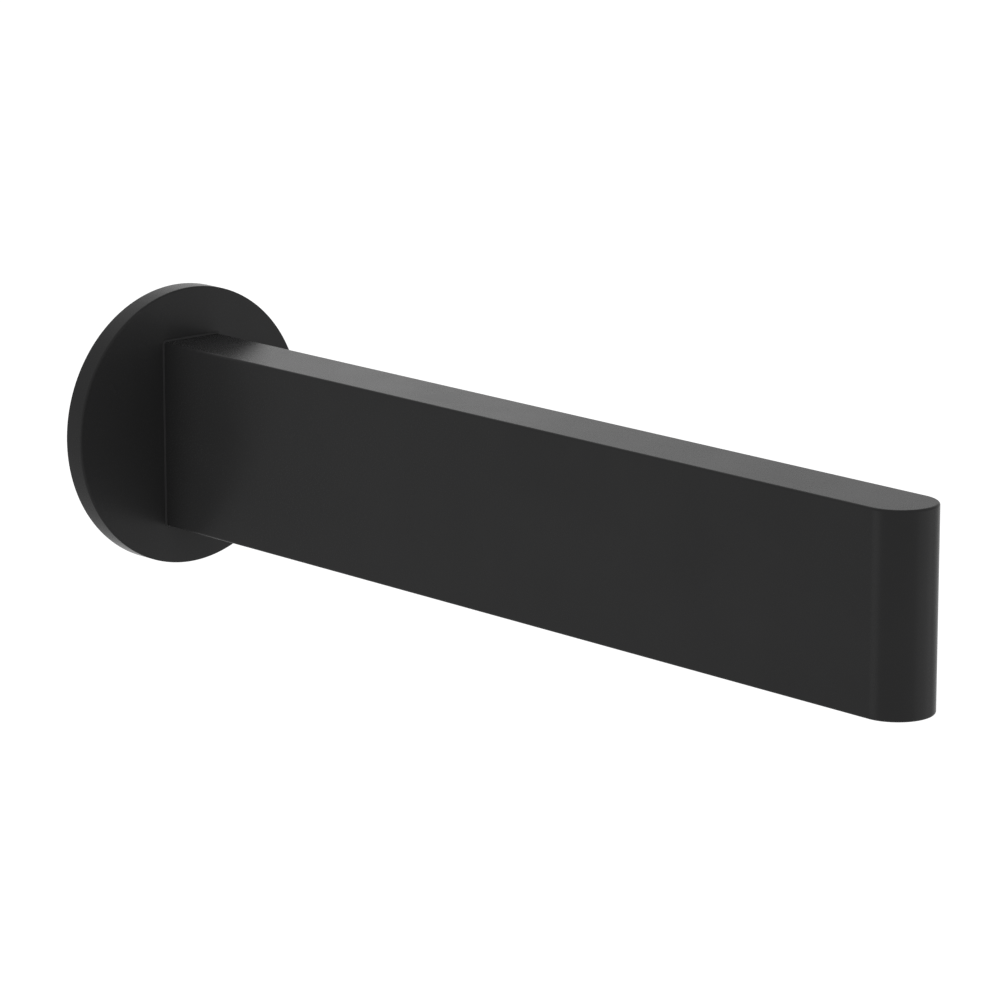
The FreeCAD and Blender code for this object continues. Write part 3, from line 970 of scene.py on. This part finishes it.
def makeNipple():
    # from the bore out at the wall end, down the thread and spigot, and back in at the key
    sizes = connectionNipple
    wallEnd, armEnd = nippleHigh.y, nippleLow.y
    bore, inlet, inletBevel = sizes["boreRadius"], sizes["inletRadius"], sizes["inletBevel"]
    inletEnd = wallEnd - sizes["inletDepth"]
    profile = [(bore, inletEnd - inlet + bore), (inlet, inletEnd), (inlet, wallEnd - inletBevel),
               (inlet + inletBevel, wallEnd)]
    profile += reversed(threaded(sizes, sizes["threadStartY"], wallEnd))
    crest, spigot, edge = sizes["crestRadius"], sizes["spigotRadius"], sizes["breakEdge"]
    shoulder, bevel = sizes["shoulderY"], sizes["shoulderBevel"]
    profile += [(crest, shoulder + bevel), (crest - bevel, shoulder), (spigot + edge, shoulder),
                (spigot, shoulder - edge)]
    vee, veeY = sizes["locatingDepth"], screwMiddle.y
    profile += [(spigot, veeY + vee), (spigot - vee, veeY), (spigot, veeY - vee)]
    profile += ringGroove("nipple_o_ring_rear") + ringGroove("nipple_o_ring_front")
    lead, key, keyBevel = sizes["spigotLead"], sizes["keyWidth"], sizes["keyBevel"]
    keyEnd = armEnd + sizes["keyDepth"]
    profile += [(spigot, armEnd + lead), (spigot - lead, armEnd), (hexagon(key + 2 * keyBevel), armEnd),
                (hexagon(key), armEnd + keyBevel), (hexagon(key), keyEnd), (bore, keyEnd)]
    return turned(profile, "Y", closed=True)


addPiece("connectionNipple", makeNipple(), brass, "brass", "connection_nipple", sharpAngle=40)

# O-rings, squeezed to ovals in their grooves

oRing = {"floorRadius": 4.76, "sectionSteps": 24}


def makeORing(node):
    low, high = nodeBox(node)
    radial, axial = (high.x - oRing["floorRadius"]) / 2, (high.y - low.y) / 2
    centre, middle, steps = high.x - radial, (low.y + high.y) / 2, oRing["sectionSteps"]
    profile = []
    for i in range(steps):
        angle = wholeTurn * i / steps
        profile.append((centre + radial * math.cos(angle), middle + axial * math.sin(angle)))
    return turned(profile, "Y", closed=True)


for side in ("front", "rear"):
    node = "nipple_o_ring_" + side
    addPiece("oRing_" + side, makeORing(node), rubber, "rubber", node)
print("nipple and O-rings are in")

# Outlet cartridge: oblong housing, honeycomb, and two countersunk screws

outletHousing = {
    "edge": 0.3,
    "edgeSteps": 4,
    "wall": 1.2,
    "lipWidth": 0.5,
    "lipHeight": 0.8,
    "lipBevel": 0.2,
    "screwGap": 0.1,
    "screwSink": 0.1,
    "screwLand": 3.4,
    "corner": 1.0,
}
outletScrew = {
    "pitch": 0.45,
    "crestRadius": 1.25,
    "depth": 0.24,
    "runout": 0.5,
    "chamfer": 0.3,
    "stepsPerTurn": 16,
    "headRadius": 2.35,
    "headLand": 0.2,
    "headBevel": 0.06,
    "keyWidth": 1.5,
    "keyDepth": 1.0,
    "keyBevel": 0.08,
    "shankLength": 5.0,  # plain, below the thread
}


def insertLoop(width, length, corner=outletHousing["corner"]):
    middle = middleOf("outlet_grille").y
    return blockLoop(width, middle - length / 2, middle + length / 2, corner)


def screwSeat(node):
    head = outletScrew["headRadius"] + outletHousing["screwGap"]
    hole = outletScrew["crestRadius"] + outletHousing["screwGap"]
    rim = housingLow.z + outletHousing["screwSink"] + outletScrew["headLand"]
    profile = [(head, housingLow.z - reachPast), (head, rim), (hole, rim + head - hole),
               (hole, housingHigh.z + reachPast)]
    return turned(profile, "Z", (0, middleOf(node).y, 0), steps=60)


def makeHousing():
    sizes = outletHousing
    radius, bottom, top = housingHigh.x, housingLow.z, housingHigh.z
    edge = sizes["edge"]
    loops = [(outletOblong(radius - edge * (1 - sine)), bottom + edge * rise)
             for sine, rise in quarter(sizes["edgeSteps"])]
    shell = standing(loops + [(outletOblong(radius), top)])
    spacing = middleOf("outlet_screw_rear").y - tipCentreY
    width, length = 2 * (radius - sizes["wall"]), spacing - 2 * sizes["screwLand"]
    loop, lipTop = insertLoop(width, length), bottom + sizes["lipHeight"]
    chamber = standing([(loop, lipTop), (loop, top + reachPast)])
    width, length = width - 2 * sizes["lipWidth"], length - 2 * sizes["lipWidth"]
    loop, bevel = insertLoop(width, length), sizes["lipBevel"]
    mouth = standing([(insertLoop(width + 4 * bevel, length + 4 * bevel), bottom - bevel),
                      (loop, bottom + bevel), (loop, lipTop + reachPast)])
    return carve(shell, [chamber, mouth, screwSeat("outlet_screw_front"), screwSeat("outlet_screw_rear")])


addPiece("outletHousing", makeHousing(), housingPlastic, "black_plastic", "outlet_housing")

outletGrille = {"cell": 1.5, "cellWall": 0.35, "mouthBevel": 0.09, "edge": 0.1, "play": 0.1}


def makeGrille():
    low, high = nodeBox("outlet_grille")
    width, length, edge = high.x - low.x, high.y - low.y, outletGrille["edge"]
    face, side = insertLoop(width - 2 * edge, length - 2 * edge), insertLoop(width, length)
    block = standing([(face, low.z), (side, low.z + edge), (side, high.z - edge), (face, high.z)])
    cell, bevel = outletGrille["cell"], outletGrille["mouthBevel"]
    pitch = cell + outletGrille["cellWall"]
    rowPitch = pitch * math.sqrt(3) / 2
    covered = 2 * (outletHousing["lipWidth"] - outletGrille["play"])  # by the housing's lip
    rows = int((width - covered - cell) / rowPitch) + 1
    columns = int((length - covered - cell) / pitch) + 1
    middle = (low.y + high.y) / 2
    flare, straight = hexagon(cell + 4 * bevel, math.pi / 6), hexagon(cell, math.pi / 6)
    profile = [(flare, low.z - bevel), (straight, low.z + bevel), (straight, high.z - bevel),
               (flare, high.z + bevel)]
    cells = []
    for i in range(rows):
        count = columns - i % 2
        for j in range(count):
            foot = ((i - (rows - 1) / 2) * rowPitch, middle + (j - (count - 1) / 2) * pitch, 0)
            cells.append(turned(profile, "Z", foot, steps=6))
    return carve(block, [joined(cells)])


addPiece("outletGrille", makeGrille(), grillePlastic, "grey_plastic", "outlet_grille")


def makeOutletScrew(node):
    sizes = outletScrew
    low, high = nodeBox(node)
    head, crest = sizes["headRadius"], sizes["crestRadius"]
    rim, bevel = low.z + sizes["headLand"], sizes["headBevel"]
    profile = keySocket(sizes, low.z)
    profile += [(head - bevel, low.z), (head, low.z + bevel), (head, rim), (crest, rim + head - crest)]
    profile += threaded(sizes, low.z + sizes["shankLength"], high.z)
    return turned(profile, "Z", (0, middleOf(node).y, 0), steps=60)


for side in ("front", "rear"):
    node = "outlet_screw_" + side
    addPiece("outletScrew_" + side, makeOutletScrew(node), steel, "stainless_steel", node, sharpAngle=40)
print("the outlet is in")

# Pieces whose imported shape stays: only their finish changes

for name, material in (("outlet_gasket", rubber), ("jet_plate", jetPlastic), ("strainer", steel)):
    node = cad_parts[name]
    node.data.materials.clear()
    node.data.materials.append(material)
print("carried-over pieces are finished")
